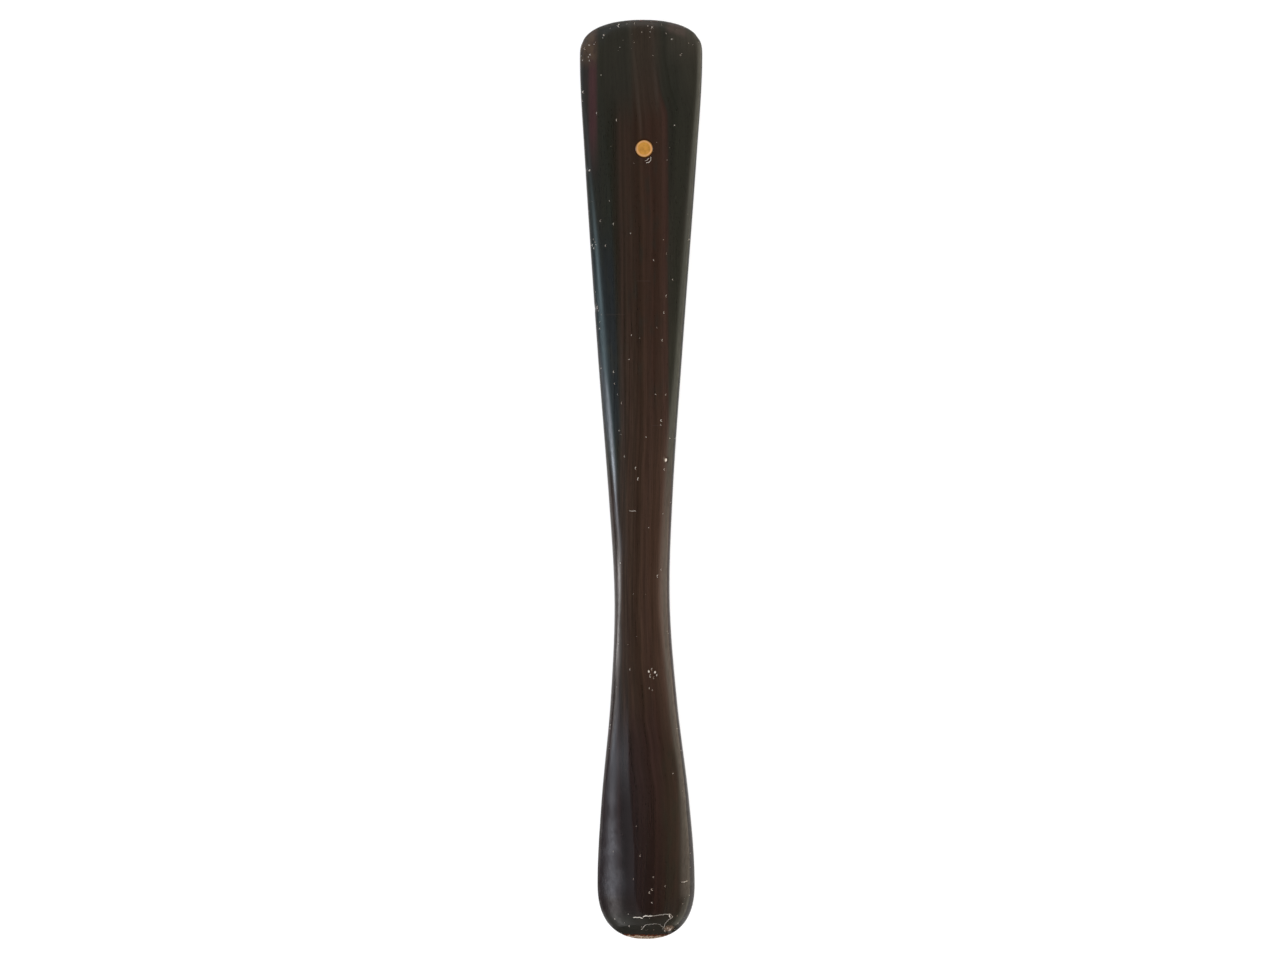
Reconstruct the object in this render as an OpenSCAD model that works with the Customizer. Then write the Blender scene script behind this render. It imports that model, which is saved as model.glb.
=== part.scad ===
// Long shoehorn carved from one piece of hardwood, with a brass pin through the handle.
// It lies with the back of the blade up. +Y runs towards the end of the handle, +Z is up,
// and the origin is under the middle of the length, on the face that it rests on.

/* [Overall] */
// Length from the tip of the blade to the end of the handle
overall_l = 380; // [300:5:460]
// How far the middle of the length bows to the left
bow = 1.3; // [0:0.1:4]

/* [Blade] */
// Width of the blade at its widest place, near the tip
blade_w = 40.3; // [32:0.1:50]
// Height of the crown there, above the resting face
blade_h = 8.4; // [6.5:0.1:11]
// Length of the rounded tip
tip_l = 23; // [16:0.5:30]
// Height of the blade's outer edge
blade_edge_h = 1.4; // [0.8:0.1:2.5]
// Thickness of the wood at the crown of the blade, near the tip
blade_wall = 2.6; // [1.8:0.1:4]
// Width of the flat rim that runs round the hollow
rim_land = 0.8; // [0.4:0.1:2]
// Distance from the tip to the place where the hollow runs out
hollow_l = 150; // [120:1:170]

/* [Shoulder] */
// Height of the crown at the shoulder, half way from the waist to the blade's widest place
shoulder_h = 10; // [8:0.1:13]
// Height of the shoulder's outer edge
shoulder_edge_h = 4.2; // [3:0.1:5]
// Depth of the hollow at the shoulder
shoulder_hollow = 5.6; // [3:0.1:7]

/* [Waist] */
// Distance from the tip to the narrowest place
waist_from_tip = 140; // [120:1:160]
// Width at the narrowest place
waist_w = 22.9; // [18:0.1:28]
// Height there
waist_h = 11; // [9:0.1:14]
// Height of the waist's outer edge
waist_edge_h = 5; // [3:0.1:5.5]
// Radius of the lower edge of the waist
waist_edge_r = 5; // [3:0.1:6]

/* [Handle] */
// Width of the handle near its end
handle_w = 50.7; // [40:0.1:62]
// Thickness of the handle near its end
handle_h = 7.6; // [6:0.1:10]
// Length of the rounded end
end_l = 15; // [10:0.5:20]
// Height of the handle's outer edge, where it is widest
handle_edge_h = 3.4; // [2:0.1:4]
// Radius of the lower edge of the handle
handle_edge_r = 3; // [1.5:0.1:5]

/* [Pin] */
// Diameter of the brass pin
pin_d = 7; // [4:0.1:10]
// Distance from the end of the handle to the middle of the pin
pin_from_end = 53.8; // [40:0.1:70]
// Distance of the pin from the middle line, to the right
pin_offset = 1; // [-4:0.1:4]
// Gap between the pin and its hole, on each side
pin_gap = 0.02; // [0.01:0.01:0.1]
// Bevel on the pin's two ends
pin_bevel = 0.5; // [0.2:0.1:1]

/* [Hidden] */

tip_y = -overall_l / 2;
end_y = overall_l / 2;
blade_y = tip_y + tip_l;
waist_y = tip_y + waist_from_tip;
handle_y = end_y - end_l;

shoulder_y = waist_y + (blade_y - waist_y) / 2;
// Where the bow starts to show, on the blade
bow_start_y = blade_y + tip_l;

pin_x = pin_offset;
pin_y = end_y - pin_from_end;

// How square the plan of each end is: across the width, and along the length
tip_round = [2.4, 2.4];
end_round = [2.2, 2.8];

// A place on the flank from the waist (0) to the blade or the handle (1)
function flank(to_y, t) = waist_y + (to_y - waist_y) * t;
// A half width between the waist's (0) and that of the blade or the handle (1)
function flank_w(to_w, share) = (waist_w + (to_w - waist_w) * share) / 2;
// The grip, where the round waist has become the flat handle
grip_y = flank(handle_y, 0.37);
// How full the hollow is from side to side: 1 is a plain arc
hollow_full = 0.8;

// Each table gives a size at places along the length, from the tip to the end: [y, size]
side_widths = [
    [blade_y, blade_w / 2],
    [flank(blade_y, 0.71), flank_w(blade_w, 0.775)],
    [flank(blade_y, 0.35), flank_w(blade_w, 0.265)],
    [waist_y, waist_w / 2],
    [flank(handle_y, 0.19), flank_w(handle_w, 0.125)],
    [flank(handle_y, 0.46), flank_w(handle_w, 0.44)],
    [flank(handle_y, 0.83), flank_w(handle_w, 0.86)],
    [handle_y, handle_w / 2]
];
crown_heights = [
    [blade_y, blade_h],
    [shoulder_y, shoulder_h],
    [waist_y, waist_h],
    [grip_y, waist_h + (handle_h - waist_h) * 0.24],
    [handle_y, handle_h]
];
// Height of the outermost edge
edge_heights = [
    [blade_y, blade_edge_h],
    [shoulder_y, shoulder_edge_h],
    [waist_y, waist_edge_h],
    [grip_y, waist_edge_h * 0.92],
    [handle_y, handle_edge_h]
];
// How far the rounding of the lower edge reaches inwards
edge_radii = [
    [blade_y, blade_edge_h],
    [shoulder_y, shoulder_edge_h * 0.8],
    [waist_y, waist_edge_r],
    [grip_y, (waist_edge_r + handle_edge_r) / 2],
    [handle_y, handle_edge_r]
];
// How flat the crown is on its right flank, and on its left one
right_flats = [
    [blade_y, 3.9],
    [shoulder_y, 3.8],
    [waist_y, 2],
    [grip_y, 2.5],
    [handle_y, 3.4]
];
left_flats = [
    [blade_y, 2.3],
    [shoulder_y, 3],
    [waist_y, 4.4],
    [grip_y, 2.6],
    [handle_y, 3.3]
];
// How full the shoulders of the crown are
crown_fulls = [
    [blade_y, 1.3],
    [shoulder_y, 2.6],
    [waist_y, 2.3],
    [grip_y, 2.6],
    [handle_y, 3.4]
];
// Depth of the hollow for the heel, along its middle
hollow_depths = [
    [blade_y, blade_h - blade_wall],
    [shoulder_y, shoulder_hollow],
    [tip_y + hollow_l, 0]
];
// How far the middle line lies to the left
bows = [
    [tip_y, 0],
    [bow_start_y, 0],
    [(bow_start_y + handle_y) / 2, bow],
    [handle_y, 0],
    [end_y, -bow / 5]
];

// Slope of a table at its row i, level at both of its ends
function slope(table, i) =
    i == 0 || i == len(table) - 1 ? 0
    : (table[i + 1][1] - table[i - 1][1]) / (table[i + 1][0] - table[i - 1][0]);
// Smooth curve from row i to the next, t running from 0 to 1
function between(table, i, t, step) =
    table[i][1] * (2 * t ^ 3 - 3 * t ^ 2 + 1)
    + slope(table, i) * step * (t ^ 3 - 2 * t ^ 2 + t)
    + table[i + 1][1] * (3 * t ^ 2 - 2 * t ^ 3)
    + slope(table, i + 1) * step * (t ^ 3 - t ^ 2);
// Size from a table at y, held at its first or last value past its ends
function size_at(table, y, i = 0) =
    y <= table[0][0] ? table[0][1]
    : i == len(table) - 1 ? table[i][1]
    : y > table[i + 1][0] ? size_at(table, y, i + 1)
    : let (step = table[i + 1][0] - table[i][0])
      between(table, i, (y - table[i][0]) / step, step);

// How far y lies into a rounded end: 0 along the sides, 1 at the tip or the end
function into_end(y) =
    y < blade_y ? (blade_y - y) / tip_l
    : y > handle_y ? (y - handle_y) / end_l
    : 0;
function end_shape(y) = y < waist_y ? tip_round : end_round;
// What a rounded end leaves of the full section at y, from 1 down to 0
function left_of(y) = 1 - into_end(y) ^ end_shape(y)[1];
function half_width(y) = size_at(side_widths, y) * left_of(y) ^ (1 / end_shape(y)[0]);
function middle_x(y) = -size_at(bows, y);
// How near a point is to the outline: 0 in the middle, 1 on the outline.
// u is its place across the width, from -1 to 1.
function nearness(y, u) =
    let (power = end_shape(y)[0])
    (1 - left_of(y) * (1 - abs(u) ^ power)) ^ (1 / power);

// How far to the right a point lies: 0 on the left flank, 1 on the right one
function rightness(u) = let (t = min(1, max(0, u + 0.5))) t * t * (3 - 2 * t);
// How flat the crown is at a point
function flat_at(y, u) =
    let (left = size_at(left_flats, y))
    left + (size_at(right_flats, y) - left) * rightness(u);

// Height of the crown's surface
function top_z(y, u) =
    let (edge = size_at(edge_heights, y), near = min(1, nearness(y, u)), flat = flat_at(y, u))
    edge + (size_at(crown_heights, y) - edge)
    * (1 - near ^ flat) ^ (1 / size_at(crown_fulls, y));
// Height of the underside: a rounded lower edge, a flat, and the hollow of the blade
function under_z(y, u) =
    let (inside = (1 - min(1, nearness(y, u))) * size_at(side_widths, y),
         radius = size_at(edge_radii, y),
         edge = max(0, 1 - inside / radius),
         reach = size_at(side_widths, y) - radius - rim_land,
         hollow = max(0, (inside - radius - rim_land) / reach))
    size_at(edge_heights, y) * (1 - sqrt(1 - edge ^ 2))
    + size_at(hollow_depths, y) * (1 - (1 - hollow) ^ 2) ^ hollow_full;

// Rings of points that the surface runs through
end_rings = 11;
side_rings = 54;
ring_points = 44;
turn = 360 / ring_points;
ring_ys = [
    for (k = [end_rings - 1:-1:1]) blade_y - tip_l * sin(90 * k / end_rings) ^ (2 / tip_round[1]),
    for (k = [0:side_rings]) blade_y + (handle_y - blade_y) * k / side_rings,
    for (k = [1:end_rings - 1]) handle_y + end_l * sin(90 * k / end_rings) ^ (2 / end_round[1])
];
// A ring starts at the right and goes over the crown to the left and back underneath
function ring(y) = [
    for (k = [0:ring_points - 1])
    let (u = cos(k * turn))
    [middle_x(y) + half_width(y) * u, y, k <= ring_points / 2 ? top_z(y, u) : under_z(y, u)]
];
function pole(y) = [middle_x(y), y, size_at(edge_heights, y)];

// Closed surface through rings of points, between a first and a last point
module loft(first, rings, last) {
    n = len(rings[0]);
    last_ring = (len(rings) - 1) * n;
    points = [for (r = rings) each r, first, last];
    pole_a = len(points) - 2;
    pole_b = len(points) - 1;
    sides = [
        for (r = [0:len(rings) - 2], k = [0:n - 1])
        let (a = r * n + k, b = r * n + (k + 1) % n)
        each [[a, b, a + n], [b, b + n, a + n]]
    ];
    first_cap = [for (k = [0:n - 1]) [pole_a, (k + 1) % n, k]];
    last_cap = [for (k = [0:n - 1]) [pole_b, last_ring + k, last_ring + (k + 1) % n]];
    polyhedron(points = points, faces = concat(sides, first_cap, last_cap), convexity = 6);
}

// Handle, waist and blade, carved from one blank, with the hole for the pin
module wooden_body() {
    color("#33261f")
    difference() {
        loft(pole(tip_y), [for (y = ring_ys) ring(y)], pole(end_y));
        translate([pin_x, pin_y, -1])
        cylinder(h = waist_h + handle_h, r = pin_d / 2 + pin_gap, $fn = 64);
    }
}

// Pin through the handle, ground flush with both faces and bevelled at both ends
module brass_pin() {
    r = pin_d / 2;
    top = top_z(pin_y, 0);
    color("#b07b33")
    translate([pin_x, pin_y, 0])
    rotate_extrude($fn = 64)
    polygon([
        [0, 0], [r - pin_bevel, 0], [r, pin_bevel],
        [r, top - pin_bevel], [r - pin_bevel, top], [0, top]
    ]);
}

wooden_body();
brass_pin();
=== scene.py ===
"""A long shoehorn of dark lacquered rosewood with a flush brass pin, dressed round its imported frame.

The frame gives the pieces' places and main sizes. This script carves the wooden body with its real
edges, hollow, dents and worn tip, turns the brass pin, lays the wear of the lacquer on the wood, and
sets up a plain studio. Sizes are millimetres until a mesh is made, and metres in the scene.
"""

import logging
import math
from dataclasses import dataclass, fields
from enum import Enum
from types import SimpleNamespace

import bpy
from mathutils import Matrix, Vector

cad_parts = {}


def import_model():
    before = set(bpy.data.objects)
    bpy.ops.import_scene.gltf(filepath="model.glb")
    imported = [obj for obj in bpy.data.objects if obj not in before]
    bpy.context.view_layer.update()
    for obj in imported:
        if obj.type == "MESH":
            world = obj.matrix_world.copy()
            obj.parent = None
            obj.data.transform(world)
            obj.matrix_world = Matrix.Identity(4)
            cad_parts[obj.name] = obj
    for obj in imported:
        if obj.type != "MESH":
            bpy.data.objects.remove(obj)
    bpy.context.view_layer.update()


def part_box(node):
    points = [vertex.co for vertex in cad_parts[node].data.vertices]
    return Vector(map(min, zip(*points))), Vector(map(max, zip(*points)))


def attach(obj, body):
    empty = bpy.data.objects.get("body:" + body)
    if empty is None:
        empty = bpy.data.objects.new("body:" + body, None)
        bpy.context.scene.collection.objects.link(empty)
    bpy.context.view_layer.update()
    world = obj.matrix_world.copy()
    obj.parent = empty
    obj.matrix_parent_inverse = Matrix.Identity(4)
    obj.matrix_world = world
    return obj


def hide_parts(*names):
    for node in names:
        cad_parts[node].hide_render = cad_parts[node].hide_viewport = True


MM = 0.001
HALF_LENGTH = 190.0
SHARP_ANGLE = math.radians(50)
ROOT_BODY = "root"
log = logging.getLogger("shoehorn")

Number = float | int
Colour = tuple[float, float, float]


def from_srgb(red: int, green: int, blue: int) -> Colour:
    """A colour as a painter names it, from 0 to 255, as the linear values that a shader takes.

    Args:
        red, green, blue: The channels, from 0 to 255.

    Returns:
        The three linear channels, from 0 to 1.
    """
    def linear(channel: int) -> float:
        """One channel made linear."""
        share = channel / 255
        return share / 12.92 if share <= 0.04045 else ((share + 0.055) / 1.055) ** 2.4

    return linear(red), linear(green), linear(blue)


# ---------------------------------------------------------------------------------------------
# Node trees written as expressions
# ---------------------------------------------------------------------------------------------


class Sock:
    """One output of a node. Arithmetic on it adds Math nodes to its tree."""

    def __init__(self, graph: "Graph", socket: bpy.types.NodeSocket) -> None:
        """Wraps a socket of the graph's tree."""
        self.graph = graph
        self.socket = socket

    def math(self, operation: str, *values: "Sock | Number") -> "Sock":
        """The result of a Math node.

        Args:
            operation: The Math node's operation.
            values: Its inputs, in order.

        Returns:
            The node's output.
        """
        return self.graph.node("ShaderNodeMath", {"operation": operation}, dict(enumerate(values))).out()

    def __add__(self, other: "Sock | Number") -> "Sock":
        """Sum."""
        return self.math("ADD", self, other)

    def __sub__(self, other: "Sock | Number") -> "Sock":
        """Difference."""
        return self.math("SUBTRACT", self, other)

    def __rsub__(self, other: Number) -> "Sock":
        """Difference, with the number first."""
        return self.math("SUBTRACT", other, self)

    def __mul__(self, other: "Sock | Number") -> "Sock":
        """Product."""
        return self.math("MULTIPLY", self, other)

    def __truediv__(self, other: "Sock | Number") -> "Sock":
        """Quotient."""
        return self.math("DIVIDE", self, other)

    def __rtruediv__(self, other: Number) -> "Sock":
        """Quotient, with the number first."""
        return self.math("DIVIDE", other, self)

    def __pow__(self, other: "Sock | Number") -> "Sock":
        """Power."""
        return self.math("POWER", self, other)

    def __neg__(self) -> "Sock":
        """Negative."""
        return self.math("MULTIPLY", self, -1.0)

    def __abs__(self) -> "Sock":
        """Size without sign."""
        return self.math("ABSOLUTE", self)

    def __gt__(self, other: "Sock | Number") -> "Sock":
        """1 where this is greater, and 0 elsewhere."""
        return self.math("GREATER_THAN", self, other)

    def __lt__(self, other: "Sock | Number") -> "Sock":
        """1 where this is less, and 0 elsewhere."""
        return self.math("LESS_THAN", self, other)

    __radd__ = __add__
    __rmul__ = __mul__

    def sine(self) -> "Sock":
        """Sine of this angle, in radians."""
        return self.math("SINE", self)

    def cosine(self) -> "Sock":
        """Cosine of this angle, in radians."""
        return self.math("COSINE", self)

    def root(self) -> "Sock":
        """Square root."""
        return self.math("SQRT", self)

    def least(self, other: "Sock | Number") -> "Sock":
        """The smaller of the two."""
        return self.math("MINIMUM", self, other)

    def most(self, other: "Sock | Number") -> "Sock":
        """The larger of the two."""
        return self.math("MAXIMUM", self, other)

    def held(self) -> "Sock":
        """This, held between 0 and 1."""
        return self.least(1.0).most(0.0)

    def fade(self, start: Number, end: Number) -> "Sock":
        """A soft step: 0 up to start, 1 from end on. With start above end it falls instead.

        Args:
            start: Where the step leaves 0.
            end: Where it reaches 1.

        Returns:
            The step, from 0 to 1.
        """
        settings = {"interpolation_type": "SMOOTHSTEP"}
        values = {"Value": self, "From Min": start, "From Max": end}
        return self.graph.node("ShaderNodeMapRange", settings, values).out("Result")


class Made:
    """A node just made, whose outputs are taken by name."""

    def __init__(self, graph: "Graph", node: bpy.types.Node) -> None:
        """Wraps a node of the graph's tree."""
        self.graph = graph
        self.node = node

    def out(self, key: str | int = 0) -> Sock:
        """One of the node's outputs, by name, identifier or place."""
        return Sock(self.graph, Graph.find(self.node.outputs, key))


class Graph:
    """One node tree, built by one method that makes any node."""

    def __init__(self, tree: bpy.types.NodeTree) -> None:
        """Starts on a tree, which keeps what it already holds."""
        self.tree = tree

    @staticmethod
    def find(sockets: bpy.types.bpy_prop_collection, key: str | int) -> bpy.types.NodeSocket:
        """A socket of a node.

        Args:
            sockets: The node's inputs or its outputs.
            key: Its place, its name among those in use, or its identifier.

        Returns:
            The socket.
        """
        if isinstance(key, int):
            return sockets[key]
        by_id = [s for s in sockets if s.identifier == key]
        by_name = [s for s in sockets if s.name == key and s.enabled]
        return (by_name or by_id)[0]

    def node(self, kind: str, settings: dict | None = None, values: dict | None = None) -> Made:
        """Makes a node of any type.

        Args:
            kind: The node's type.
            settings: Its properties, which are set first. "stops" are a ramp's (place, colour) pairs.
            values: Its inputs by name, identifier or place: a Sock to link, a list of them, or a value.

        Returns:
            The node, from which outputs are taken.
        """
        made = self.tree.nodes.new(kind)
        for name, value in (settings or {}).items():
            if name == "stops":
                self._set_stops(made.color_ramp, value)
            else:
                setattr(made, name, value)
        for key, value in (values or {}).items():
            socket = self.find(made.inputs, key)
            for item in value if isinstance(value, list) else [value]:
                if isinstance(item, Sock):
                    self.tree.links.new(item.socket, socket)
                else:
                    socket.default_value = item
        return Made(self, made)

    @staticmethod
    def _set_stops(ramp: bpy.types.ColorRamp, stops: list[tuple[float, Colour]]) -> None:
        """Fills a colour ramp.

        Args:
            ramp: The ramp.
            stops: Its (place, colour) pairs.
        """
        while len(ramp.elements) > 1:
            ramp.elements.remove(ramp.elements[-1])
        for i, (place, colour) in enumerate(stops):
            element = ramp.elements[0] if i == 0 else ramp.elements.new(place)
            element.position = place
            element.color = (*colour, 1.0)

    def vector(self, x: "Sock | Number", y: "Sock | Number", z: "Sock | Number") -> Sock:
        """A vector put together from three values."""
        return self.node("ShaderNodeCombineXYZ", None, {0: x, 1: y, 2: z}).out()

    def split(self, vector: Sock) -> tuple[Sock, Sock, Sock]:
        """A vector's three values."""
        made = self.node("ShaderNodeSeparateXYZ", None, {0: vector})
        return made.out(0), made.out(1), made.out(2)

    def vector_math(
        self, operation: str, *values: "Sock | tuple", scale: "Sock | Number | None" = None,
    ) -> Sock:
        """The result of a Vector Math node.

        Args:
            operation: The node's operation.
            values: Its vectors, in order.
            scale: Its factor, for SCALE.

        Returns:
            The vector that it gives.
        """
        inputs = dict(enumerate(values))
        if scale is not None:
            inputs["Scale"] = scale
        return self.node("ShaderNodeVectorMath", {"operation": operation}, inputs).out("Vector")

    def mix(self, factor: Sock, first: "Sock | Colour", second: "Sock | Colour", blend: str = "MIX") -> Sock:
        """Two colours mixed.

        Args:
            factor: 0 for the first, 1 for the second.
            first, second: The colours.
            blend: How they are laid over each other.

        Returns:
            The mixed colour.
        """
        def filled(colour: "Sock | Colour") -> "Sock | tuple":
            """A plain colour with its fourth channel."""
            return colour if isinstance(colour, Sock) else (*colour, 1.0)

        values = {"Factor": factor, "A": filled(first), "B": filled(second)}
        return self.node("ShaderNodeMix", {"data_type": "RGBA", "blend_type": blend}, values).out("Result")

    def noise(self, place: Sock, detail: float = 2.0, scale: float = 1.0, roughness: float = 0.5) -> Sock:
        """Smooth noise about 0.5, with one unit of place between its swells when scale is 1."""
        values = {"Vector": place, "Scale": scale, "Detail": detail, "Roughness": roughness}
        return self.node("ShaderNodeTexNoise", {"noise_dimensions": "3D"}, values).out("Fac")

    def stray(self, scale: float) -> Sock:
        """A shift of each point that changes smoothly from place to place.

        Args:
            scale: How many swells it has in a millimetre.

        Returns:
            The shift, with three values about 0.
        """
        values = {"Vector": self.position_mm(), "Scale": scale}
        made = self.node("ShaderNodeTexNoise", {"noise_dimensions": "3D"}, values)
        return self.vector_math("SUBTRACT", made.out("Color"), (0.5, 0.5, 0.5))

    def object_mm(self) -> Sock:
        """The place on the object in millimetres, for a material."""
        return self.vector_math("SCALE", self.node("ShaderNodeTexCoord").out("Object"), scale=1 / MM)

    def position_mm(self) -> Sock:
        """The place of each point in millimetres, for a mesh."""
        return self.vector_math("SCALE", self.node("GeometryNodeInputPosition").out(), scale=1 / MM)

    def bump(self, height: Sock) -> Sock:
        """The normal of a surface raised by a height in millimetres."""
        return self.node("ShaderNodeBump", None, {"Height": height, "Distance": MM, "Strength": 1.0}).out()

    def moved(self, geometry: Sock, how: str, value: Sock) -> Sock:
        """Geometry with its points put at a Position, or moved by an Offset."""
        return self.node("GeometryNodeSetPosition", None, {"Geometry": geometry, how: value}).out()

    def joined(self, *parts: Sock) -> Sock:
        """Several geometries as one."""
        return self.node("GeometryNodeJoinGeometry", None, {"Geometry": list(parts)}).out()

    def instance(self, geometry: Sock) -> Sock:
        """Geometry as one instance."""
        return self.node("GeometryNodeGeometryToInstance", None, {"Geometry": [geometry]}).out()

    def carrying(self, geometry: Sock, name: str, value: "Sock | Number") -> Sock:
        """Geometry whose points carry a named number.

        Args:
            geometry: The geometry.
            name: The number's name.
            value: The number.

        Returns:
            The same geometry, with the number on its points.
        """
        settings = {"data_type": "FLOAT", "domain": "POINT"}
        values = {"Geometry": geometry, "Name": name, "Value": value}
        return self.node("GeometryNodeStoreNamedAttribute", settings, values).out()

    def carried(self, name: str) -> Sock:
        """The named number that each point carries."""
        made = self.node("GeometryNodeInputNamedAttribute", {"data_type": "FLOAT"}, {"Name": name})
        return made.out("Attribute")

    def drawn(self, kind: str, low: "Sock | Number", high: "Sock | Number", seed: Sock) -> Sock:
        """A random number for each point.

        Args:
            kind: FLOAT or INT. The node has sockets of its own for each.
            low, high: The least and the greatest number.
            seed: What sets the draw.

        Returns:
            The number.
        """
        ending = {"FLOAT": "_001", "INT": "_002"}[kind]
        values = {"Min" + ending: low, "Max" + ending: high, "Seed": seed}
        return self.node("FunctionNodeRandomValue", {"data_type": kind}, values).out("Value" + ending)

    def ribbon(self, line: Sock, width: float, height: "Sock | Number", scale: Sock) -> Sock:
        """A closed band along a curve.

        Args:
            line: The curve.
            width, height: The band's section.
            scale: How much wider and higher it is at each point.

        Returns:
            The band's mesh.
        """
        section = {"Width": width, "Height": height}
        profile = self.node("GeometryNodeCurvePrimitiveQuadrilateral", {"mode": "RECTANGLE"}, section).out()
        values = {"Curve": line, "Profile Curve": profile, "Fill Caps": True, "Scale": scale}
        return self.node("GeometryNodeCurveToMesh", None, values).out()

    def show(self, shader: Sock) -> None:
        """Makes a shader the one that the material shows."""
        self.tree.links.new(shader.socket, self.tree.nodes["Material Output"].inputs["Surface"])


class SizedTree:
    """A Geometry Nodes tree whose named inputs are the number fields of a dataclass."""

    def __init__(self, name: str, owner: object) -> None:
        """Makes the tree with one input for each number that the owner holds.

        Args:
            name: The tree's name.
            owner: A dataclass instance. Its float and int fields become inputs.
        """
        self.tree = bpy.data.node_groups.new(name, "GeometryNodeTree")
        interface = self.tree.interface
        interface.new_socket("Geometry", in_out="INPUT", socket_type="NodeSocketGeometry")
        interface.new_socket("Geometry", in_out="OUTPUT", socket_type="NodeSocketGeometry")
        self.values: dict[str, Number] = {}
        names: dict[str, str] = {}
        for item in fields(owner):
            value = getattr(owner, item.name)
            if not isinstance(value, (int, float)):
                continue
            kind = "NodeSocketInt" if isinstance(value, int) else "NodeSocketFloat"
            label = item.name.replace("_", " ").capitalize()
            socket = interface.new_socket(label, in_out="INPUT", socket_type=kind)
            self.values[socket.identifier] = value
            names[item.name] = socket.identifier
        self.graph = Graph(self.tree)
        inputs = self.graph.node("NodeGroupInput")
        self.geometry = inputs.out("Geometry")
        self.sizes = SimpleNamespace(**{name: inputs.out(key) for name, key in names.items()})

    def finish(self, geometry: Sock, material: bpy.types.Material) -> None:
        """Ends the tree with real geometry in one material.

        Args:
            geometry: What the tree has made.
            material: Its finish.
        """
        real = self.graph.node("GeometryNodeRealizeInstances", None, {"Geometry": geometry}).out()
        values = {"Geometry": real, "Material": material}
        dressed = self.graph.node("GeometryNodeSetMaterial", None, values).out()
        self.graph.node("NodeGroupOutput", None, {"Geometry": dressed})

    def grown_on(self, start: bpy.types.Mesh, piece_name: str) -> bpy.types.Object:
        """Runs the tree on a mesh and keeps the result as a plain piece.

        Args:
            start: The mesh that the tree starts from.
            piece_name: The finished piece's name.

        Returns:
            The piece, with no modifier left on it.
        """
        carrier = place_mesh(start, "carrier")
        modifier = carrier.modifiers.new(self.tree.name, "NODES")
        modifier.node_group = self.tree
        for identifier, value in self.values.items():
            modifier[identifier] = value
        carrier.update_tag()
        graph = bpy.context.evaluated_depsgraph_get()
        mesh = bpy.data.meshes.new_from_object(carrier.evaluated_get(graph))
        mesh.name = piece_name
        bpy.data.objects.remove(carrier)
        return place_mesh(mesh, piece_name)


def place_mesh(mesh: bpy.types.Mesh, name: str) -> bpy.types.Object:
    """Puts a mesh in the scene.

    Args:
        mesh: The mesh.
        name: The object's name.

    Returns:
        The object, at the origin, unturned and unscaled.
    """
    piece = bpy.data.objects.new(name, mesh)
    bpy.context.scene.collection.objects.link(piece)
    return piece


def size_along(table: list[tuple["Sock | Number", "Sock | Number"]], y: Sock) -> Sock:
    """A size that changes smoothly along the length, and is level at both ends of its table.

    Args:
        table: (place, size) pairs from the tip towards the end.
        y: The place at which the size is wanted.

    Returns:
        The size there.
    """
    inner = [(after[1] - before[1]) / (after[0] - before[0]) for before, after in zip(table, table[2:])]
    slopes = [0.0, *inner, 0.0]
    size = table[0][1]
    for (y_a, size_a), (y_b, size_b), slope_a, slope_b in zip(table, table[1:], slopes, slopes[1:]):
        step = y_b - y_a
        share = ((y - y_a) / step).held()
        rise = size_b - size_a
        bend = rise * 3.0 - (slope_a * 2.0 + slope_b) * step
        twist = (slope_a + slope_b) * step - rise * 2.0
        size = size + share * (slope_a * step + share * (bend + share * twist))
    return size


# ---------------------------------------------------------------------------------------------
# The wooden body
# ---------------------------------------------------------------------------------------------


@dataclass(frozen=True)
class Dent:
    """A knock in the wood: its place from above, its radius and its depth."""

    x: float
    y: float
    radius: float
    depth: float


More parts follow.
